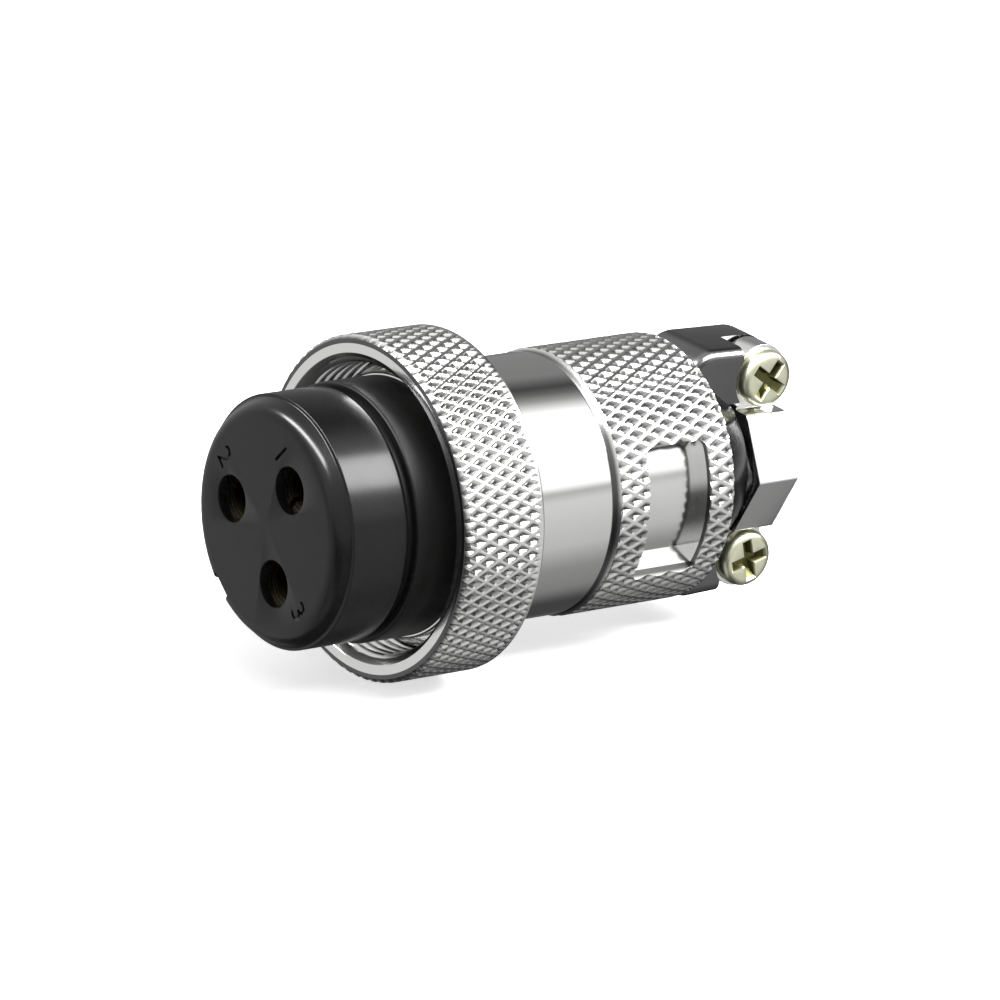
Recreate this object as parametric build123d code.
"""Round three-contact cable plug with a coupling nut and a screwed cable clamp.

X runs along the plug from the mating face to the cable end, Z runs through
the two clamp screws, and the screw heads face -Y. Sizes are in millimetres.
"""

import os
from math import cos, radians, sin

from build123d import *

os.makedirs("parts", exist_ok=True)

# Fits and gaps
running_gap = 0.08
seat_gap = 0.05
free_gap = 0.3
past = 1.0

# Insulator nose
nose_radius = 11.7
cap_step = 0.6
cap_length = 0.75
cap_corner = 0.7
nose_end = 7.4
nose_end_chamfer = 0.2
waist_depth = 0.5
waist_length = 0.9
nose_cap_radius = nose_radius - cap_step
waist_radius = nose_radius - waist_depth
waist_end = nose_end + waist_length
split_x = nose_end + waist_length / 2
keyway_width = 2.7
keyway_depth = 1.1
keyway_angle = 232.5

# Contacts
contact_inset = 6.28
contact_circle = nose_radius - contact_inset
contact_angles = [53, 173, 293]
pin_radius = 1.75
socket_wall = 0.7
entry_radius = 2.2
entry_depth = 1.3
contact_recess = 0.2
socket_start = entry_depth + contact_recess
socket_depth = 9.9
socket_radius = pin_radius + socket_wall
slot_width = 0.5
slot_length = 5.7
spring_length = 1.4
spring_wall = 0.22
spring_slot = 0.6
spring_end = socket_start + spring_length
flange_step = 0.55
flange_radius = socket_radius + flange_step
flange_length = 1.6
flange_end = split_x + flange_length
shank_radius = 2.3
cup_wall = 0.65
cup_depth = 5.2
cup_notch = 4.2
cup_floor_y = -0.4
cup_tail = 6.6

# Barrel
collar_step = 0.3
collar_radius = nose_radius + collar_step
barrel_step = 0.3
barrel_radius = collar_radius + barrel_step
barrel_edge = 0.3
collar_length = 5.3
barrel_front = waist_end + collar_length
stop_flange_inset = 1.6
stop_flange_start = barrel_front + stop_flange_inset
stop_flange_step = 0.75
stop_flange_radius = barrel_radius + stop_flange_step
stop_flange_length = 1.7
stop_flange_end = stop_flange_start + stop_flange_length
barrel_length = 16.6
barrel_shoulder = barrel_front + barrel_length
stub_step = 1.0
stub_radius = barrel_radius - stub_step
stub_wall = 1.3
stub_length = 3.2
stub_end = barrel_shoulder + stub_length
barrel_rear_bore = stub_radius - stub_wall
ring_step = 0.6
barrel_front_bore = barrel_rear_bore - ring_step
front_bore_length = 7.8
ring_start = barrel_front + front_bore_length

# Rear insulator and the snap ring behind it
spigot_gap = 0.1
spigot_radius = barrel_front_bore - spigot_gap
ring_groove_depth = 0.6
ring_groove_radius = spigot_radius - ring_groove_depth
ring_thickness = 0.8
ring_end = ring_start + ring_thickness
ring_opening_width = 9.0
spigot_tail = 1.2
spigot_end = ring_end + spigot_tail
cup_end = spigot_end + cup_tail

# Screw that holds the insulator halves together
joint_screw_radius = 1.25
joint_screw_grip = 4.3
joint_hole_spare = 0.6
joint_head_radius = 2.15
joint_head_height = 1.5
joint_slot_width = 0.6
joint_slot_depth = 0.7

# Slide ring and coupling nut
slide_ring_width = 0.92
slide_ring_length = 1.1
slide_ring_inner = barrel_radius + running_gap
slide_ring_outer = slide_ring_inner + slide_ring_width
slide_ring_start = stop_flange_end + free_gap
slide_ring_end = slide_ring_start + slide_ring_length
journal_radius = slide_ring_outer + running_gap
thread_step = 0.07
thread_radius = journal_radius + thread_step
mouth_chamfer = 0.89
nut_mouth_radius = thread_radius + mouth_chamfer
nut_front_inset = 2.5
nut_front = waist_end + nut_front_inset
nut_length = 9.0
nut_rear = nut_front + nut_length
nut_wall = 2.55
nut_radius = thread_radius + nut_wall
nut_front_taper = 0.85
nut_rear_chamfer = 0.5
nut_hole_gap = 0.55
nut_hole_radius = barrel_radius + nut_hole_gap
nut_wall_x = slide_ring_end + free_gap
journal_length = 1.9
knurl_count = 31
knurl_slope = 28.4
knurl_depth = 0.42
knurl_half_width = 0.65
knurl_land = 0.8
knurl_end = nut_rear - knurl_land
thread_end = nut_wall_x - journal_length

# Backshell
shell_step = 0.25
shell_radius = barrel_radius + shell_step
lip_depth = 0.65
shell_lip_radius = shell_radius - lip_depth
shell_lip_length = 0.8
sleeve_length = 14.0
shell_rear = barrel_shoulder + sleeve_length
shell_rear_chamfer = 0.3
shell_thread_length = 3.7
shell_thread_end = barrel_shoulder + shell_thread_length
shell_wall = 3.0
cavity_radius = shell_radius - shell_wall
cavity_inset = 1.6
cavity_end = shell_rear - cavity_inset
cable_radius = 6.3
funnel_length = 3.0
cable_hole_start = cavity_end + funnel_length
neck_step = 1.65
neck_start_radius = shell_radius - neck_step
neck_wall = 1.4
neck_radius = cable_radius + neck_wall
neck_drop = 0.4
neck_start = shell_rear + neck_drop
neck_length = 5.4
neck_end = shell_rear + neck_length

# Milled window
window_inset = 4.0
window_length = 7.2
window_depth = 2.0
window_width = 12.9
window_corner = 1.0
window_ramp = 2.25
window_start = barrel_shoulder + window_inset
window_end = window_start + window_length
window_floor = shell_radius - window_depth

# Fixed half of the clamp
screw_inset = 8.8
screw_x = shell_rear + screw_inset
screw_depth = 3.6
screw_z = shell_radius - screw_depth
split_y = -0.7
ear_radius = 3.1
ear_length = 6.0
ear_flare = 0.2
ear_front_x = screw_x - ear_length
ear_front_z = screw_z + ear_flare
ear_thickness = 4.2
ear_back_y = split_y + ear_thickness
ear_lip_height = 3.8
ear_lip_y = split_y - ear_lip_height
ear_edge = 0.9
saddle_gap = 0.35
trough_wall = 2.3
trough_radius = cable_radius + trough_wall
trough_tail = 3.0
trough_start = neck_end - trough_wall
clamp_end = screw_x + trough_tail

# Clamp screws
screw_radius = 1.45
screw_length = 7.6
head_gap = 0.1
head_radius = 2.75
head_height = 1.5
head_edge = 0.5
recess_width = 1.1
recess_span = 4.2
recess_depth = 0.9
recess_turns = [35, 75]

# Saddle
saddle_length = 4.6
saddle_shift = 0.1
saddle_front = screw_x - saddle_shift - saddle_length / 2
saddle_thickness = 2.6
pad_radius = 3.05
roof_wall_gap = 0.4
roof_half_width = screw_z - head_radius - roof_wall_gap
roof_wall_rise = 1.7
roof_rise = 3.0
roof_thickness = 1.7
under_y = saddle_gap - split_y
pad_y = under_y + saddle_thickness
roof_edge_y = pad_y + roof_wall_rise
roof_height = roof_edge_y + roof_rise

# Cutters that go right through reach this far
far = 4 * nut_radius


def place(radius, angle):
    """Y and Z of a point at a radius, with the angle counted from -Y toward +Z."""
    return -radius * cos(radians(angle)), radius * sin(radians(angle))


def turned(points):
    """Solid turned about the X axis from (x, radius) corners."""
    return revolve(Polygon(*points, align=None), Axis.X)


def rod(radius, start, end, y=0.0, z=0.0):
    """Cylinder along X."""
    return Pos((start + end) / 2, y, z) * Rot(0, 90, 0) * Cylinder(radius, end - start)


def post(radius, start, end, x, z):
    """Cylinder along Y."""
    return Pos(x, (start + end) / 2, z) * Rot(90, 0, 0) * Cylinder(radius, end - start)


def block(x0, x1, y0, y1, z0, z1):
    """Box between two corners."""
    middle = Pos((x0 + x1) / 2, (y0 + y1) / 2, (z0 + z1) / 2)
    return middle * Box(x1 - x0, y1 - y0, z1 - z0)


def facing(angle):
    """Turns something built on the -Y side to another angle about X."""
    return Rot(-angle, 0, 0)


# Front insulator, its corners cut as short cones
corner_inner = cap_corner * 0.3
cove_inner = cap_step * 0.3
front_insulator = turned([
    (0, 0),
    (0, nose_cap_radius - cap_corner),
    (corner_inner / 2, nose_cap_radius - corner_inner - corner_inner / 3),
    (corner_inner + corner_inner / 3, nose_cap_radius - corner_inner / 2),
    (cap_corner, nose_cap_radius),
    (cap_length, nose_cap_radius),
    (cap_length + cap_step - cove_inner, nose_cap_radius + cove_inner),
    (cap_length + cap_step, nose_radius),
    (nose_end - nose_end_chamfer, nose_radius),
    (nose_end, nose_radius - nose_end_chamfer),
    (nose_end, waist_radius),
    (split_x, waist_radius),
    (split_x, 0),
])
front_insulator -= facing(keyway_angle) * block(
    -past, nose_end, -far, keyway_depth - nose_radius, -keyway_width / 2, keyway_width / 2
)
joint_screw_start = split_x - joint_screw_grip
front_insulator -= rod(joint_screw_radius, joint_screw_start - joint_hole_spare, split_x + past)
for angle in contact_angles:
    y, z = place(contact_circle, angle)
    front_insulator -= rod(entry_radius, -past, entry_depth + past, y, z)
    front_insulator -= rod(socket_radius + seat_gap, entry_depth, split_x + past, y, z)

# Rear insulator
rear_insulator = turned([
    (split_x, 0),
    (split_x, waist_radius),
    (waist_end, waist_radius),
    (waist_end, collar_radius),
    (barrel_front, collar_radius),
    (barrel_front, spigot_radius),
    (ring_start, spigot_radius),
    (ring_start, ring_groove_radius),
    (ring_end, ring_groove_radius),
    (ring_end, spigot_radius),
    (spigot_end, spigot_radius),
    (spigot_end, 0),
])
rear_insulator -= rod(joint_screw_radius, split_x - past, spigot_end + past)
for angle in contact_angles:
    y, z = place(contact_circle, angle)
    rear_insulator -= rod(flange_radius + seat_gap, split_x - past, flange_end, y, z)
    rear_insulator -= rod(shank_radius + seat_gap, flange_end - past, spigot_end + past, y, z)

# Screw between the insulator halves
joint_head_end = spigot_end + joint_head_height
insulator_screw = rod(joint_screw_radius, joint_screw_start, spigot_end)
insulator_screw += rod(joint_head_radius, spigot_end, joint_head_end)
insulator_screw -= block(
    joint_head_end - joint_slot_depth, joint_head_end + past,
    -far, far, -joint_slot_width / 2, joint_slot_width / 2,
)

# Snap ring that keeps the insulators in the barrel
insulator_ring = rod(barrel_rear_bore - seat_gap, ring_start, ring_end)
insulator_ring -= rod(ring_groove_radius, ring_start - past, ring_end + past)
insulator_ring -= block(
    ring_start - past, ring_end + past, -far, 0, -ring_opening_width / 2, ring_opening_width / 2
)

# Split socket contact with a flange and a solder cup
sleeve_seat = socket_radius - spring_wall
contact_shape = turned([
    (socket_start, 0),
    (socket_start, sleeve_seat),
    (spring_end, sleeve_seat),
    (spring_end, socket_radius),
    (split_x, socket_radius),
    (split_x, flange_radius),
    (flange_end, flange_radius),
    (flange_end, shank_radius),
    (cup_end, shank_radius),
    (cup_end, 0),
])
contact_shape -= rod(pin_radius, socket_start - past, socket_start + socket_depth)
contact_shape -= block(
    socket_start - past, socket_start + slot_length, -far, far, -slot_width / 2, slot_width / 2
)
contact_shape -= rod(shank_radius - cup_wall, cup_end - cup_depth, cup_end + past)
contact_shape -= block(cup_end - cup_notch, cup_end + past, -far, cup_floor_y, -far, far)

# Spring sleeve on the split end
spring_shape = rod(socket_radius, socket_start, spring_end)
spring_shape -= rod(sleeve_seat, socket_start - past, spring_end + past)
spring_shape -= block(
    socket_start - past, spring_end + past, 0, far, -spring_slot / 2, spring_slot / 2
)

contacts = []
springs = []
for angle in contact_angles:
    y, z = place(contact_circle, angle)
    contacts.append(Pos(0, y, z) * facing(angle) * contact_shape)
    springs.append(Pos(0, y, z) * facing(angle) * spring_shape)

# Barrel
barrel = turned([
    (barrel_front, barrel_front_bore),
    (barrel_front, barrel_radius),
    (stop_flange_start, barrel_radius),
    (stop_flange_start, stop_flange_radius),
    (stop_flange_end, stop_flange_radius),
    (stop_flange_end, barrel_radius),
    (barrel_shoulder - barrel_edge, barrel_radius),
    (barrel_shoulder, barrel_radius - barrel_edge),
    (barrel_shoulder, stub_radius),
    (stub_end, stub_radius),
    (stub_end, barrel_rear_bore),
    (ring_start, barrel_rear_bore),
    (ring_start, barrel_front_bore),
])

# Slide ring between the stop flange and the nut
slide_ring = rod(slide_ring_outer, slide_ring_start, slide_ring_end)
slide_ring -= rod(slide_ring_inner, slide_ring_start - past, slide_ring_end + past)

# Coupling nut
coupling_nut = turned([
    (nut_front, nut_mouth_radius),
    (nut_front, nut_radius - nut_front_taper),
    (nut_front + nut_front_taper, nut_radius),
    (nut_rear - nut_rear_chamfer, nut_radius),
    (nut_rear, nut_radius - nut_rear_chamfer),
    (nut_rear, nut_hole_radius),
    (nut_wall_x, nut_hole_radius),
    (nut_wall_x, journal_radius),
    (thread_end, journal_radius),
    (thread_end, thread_radius),
    (nut_front + mouth_chamfer, thread_radius),
])

# Main grooves of the diamond knurl, cut straight in both slants
groove_ratio = knurl_half_width / knurl_depth
groove_top = nut_radius + running_gap
groove_middle = (nut_front + knurl_end) / 2
groove_section = Polygon(
    (knurl_depth - nut_radius, 0),
    (-groove_top, -(knurl_depth + running_gap) * groove_ratio),
    (-groove_top, (knurl_depth + running_gap) * groove_ratio),
    align=None,
)
groove_plane = Plane(origin=(-far / 2, 0, 0), x_dir=(0, 1, 0), z_dir=(1, 0, 0))
groove = extrude(groove_plane * groove_section, far, dir=(1, 0, 0))
for slant in (-knurl_slope, knurl_slope):
    slanted = Pos(groove_middle, 0, 0) * Rot(0, slant, 0) * groove
    slanted &= block(nut_front - past, knurl_end, -far, 0, -far, far)
    coupling_nut -= [facing(360 * turn / knurl_count) * slanted for turn in range(knurl_count)]

# Outside of the backshell, turned
backshell = turned([
    (barrel_shoulder, 0),
    (barrel_shoulder, shell_lip_radius),
    (barrel_shoulder + shell_lip_length, shell_radius),
    (shell_rear - shell_rear_chamfer, shell_radius),
    (shell_rear, shell_radius - shell_rear_chamfer),
    (shell_rear, neck_start_radius + neck_drop),
    (neck_start, neck_start_radius),
    (neck_end, neck_radius),
    (neck_end, 0),
])

# Window milled in the sleeve down to a round floor, with a ramp along its lower side
window_half = window_width / 2
window_cut = block(window_start, window_end, -far, 0, -window_half, window_half)
window_cut = fillet(window_cut.edges().filter_by(Axis.Y), window_corner)
window_cut -= rod(window_floor, window_start - past, window_end + past)
ramp_z = window_ramp - window_half
ramp_y = -((window_floor ** 2 - ramp_z ** 2) ** 0.5)
rim_y = -((shell_radius ** 2 - window_half ** 2) ** 0.5)
ramp_section = Polygon(
    (ramp_y, ramp_z),
    (0, ramp_z),
    (0, -2 * window_half),
    (2 * rim_y - ramp_y, -window_half - window_ramp),
    align=None,
)
ramp_plane = Plane(origin=(window_start - past, 0, 0), x_dir=(0, 1, 0), z_dir=(1, 0, 0))
window_cut -= extrude(ramp_plane * ramp_section, window_length + 2 * past, dir=(1, 0, 0))
backshell -= window_cut

# Ears of the fixed clamp half, with a higher lip in front of each end of the saddle
ear_sections = Sketch()
lips = Part()
for side in (-1, 1):
    ear_section = Pos(screw_x, side * screw_z) * Circle(ear_radius)
    ear_section += Pos(ear_front_x, side * ear_front_z) * Circle(ear_radius)
    ear_sections += ear_section
    lip_plan = make_hull(ear_section.edges())
    lip = Pos(0, ear_lip_y, 0) * Rot(-90, 0, 0) * extrude(lip_plan, ear_lip_height + past)
    lips += chamfer(lip.faces().sort_by(Axis.Y)[0].edges(), ear_edge)
ear_plan = make_hull(ear_sections.edges())
ears = Pos(0, split_y, 0) * Rot(-90, 0, 0) * extrude(ear_plan, ear_thickness)
ears = chamfer(ears.faces().sort_by(Axis.Y)[-1].edges(), ear_edge)
lip_end = saddle_front - saddle_gap
backshell += ears
backshell += lips & block(shell_rear - past, lip_end, -far, far, -far, far)
for side in (-1, 1):
    backshell -= post(pad_radius + saddle_gap, -far, split_y, screw_x, side * screw_z)

# Trough behind the cable
backshell += rod(trough_radius, trough_start, clamp_end) & block(0, far, split_y, far, -far, far)

# Inside of the backshell: thread, wiring room, cable way and screw holes
backshell -= turned([
    (barrel_shoulder - past, 0),
    (barrel_shoulder - past, stub_radius + seat_gap),
    (shell_thread_end, stub_radius + seat_gap),
    (shell_thread_end, cavity_radius),
    (cavity_end, cavity_radius),
    (cable_hole_start, cable_radius),
    (far + clamp_end, cable_radius),
    (far + clamp_end, 0),
])
for side in (-1, 1):
    backshell -= post(screw_radius + running_gap, -far, far, screw_x, side * screw_z)

# Clamp saddle with a roof-shaped bridge and round ends under the screw heads
roof_slope = roof_rise / roof_half_width
inner_half_width = roof_half_width - roof_thickness
inner_peak = roof_height - roof_thickness * (1 + roof_slope ** 2) ** 0.5
inner_edge_y = inner_peak - inner_half_width * roof_slope
saddle_reach = screw_z + pad_radius
saddle_section = Polygon(
    (-saddle_reach, pad_y),
    (-roof_half_width, pad_y),
    (-roof_half_width, roof_edge_y),
    (0, roof_height),
    (roof_half_width, roof_edge_y),
    (roof_half_width, pad_y),
    (saddle_reach, pad_y),
    (saddle_reach, under_y),
    (inner_half_width, under_y),
    (inner_half_width, inner_edge_y),
    (0, inner_peak),
    (-inner_half_width, inner_edge_y),
    (-inner_half_width, under_y),
    (-saddle_reach, under_y),
    align=None,
)
section_plane = Plane(origin=(screw_x - pad_radius, 0, 0), x_dir=(0, 0, 1), z_dir=(1, 0, 0))
saddle_bar = extrude(section_plane * saddle_section, 2 * pad_radius, dir=(1, 0, 0))
saddle_plan = block(saddle_front, saddle_front + saddle_length, -far, 0, -screw_z, screw_z)
for side in (-1, 1):
    saddle_plan += post(pad_radius, -far, 0, screw_x, side * screw_z)
clamp_saddle = saddle_bar & saddle_plan
for side in (-1, 1):
    clamp_saddle -= post(screw_radius + running_gap, -far, far, screw_x, side * screw_z)

# Clamp screw with a pan head and a cross recess
head_under_y = -pad_y - head_gap
head_top_y = head_under_y - head_height
screw_head = post(head_radius, head_top_y, head_under_y, 0, 0)
screw_head = chamfer(screw_head.faces().sort_by(Axis.Y)[0].edges(), head_edge)
screw_shank = post(screw_radius, head_under_y - head_height / 2, head_under_y + screw_length, 0, 0)
screw = screw_head + screw_shank
for turn in (0, 90):
    screw -= Rot(0, turn, 0) * block(
        -recess_span / 2, recess_span / 2, head_top_y - past, head_top_y + recess_depth,
        -recess_width / 2, recess_width / 2,
    )
clamp_screw_upper = Pos(screw_x, 0, screw_z) * Rot(0, recess_turns[0], 0) * screw
clamp_screw_lower = Pos(screw_x, 0, -screw_z) * Rot(0, recess_turns[1], 0) * screw

nodes = {
    "front_insulator": front_insulator,
    "rear_insulator": rear_insulator,
    "insulator_screw": insulator_screw,
    "insulator_ring": insulator_ring,
    "barrel": barrel,
    "slide_ring": slide_ring,
    "coupling_nut": coupling_nut,
    "backshell": backshell,
    "clamp_saddle": clamp_saddle,
    "clamp_screw_upper": clamp_screw_upper,
    "clamp_screw_lower": clamp_screw_lower,
}
for number, (contact, spring) in enumerate(zip(contacts, springs), start=1):
    nodes[f"contact_{number}"] = contact
    nodes[f"contact_spring_{number}"] = spring

for name, shape in nodes.items():
    export_step(shape, f"parts/{name}.step")
    box = shape.bounding_box()
    print(name, len(shape.solids()), round(shape.volume, 1), box.min, box.max)
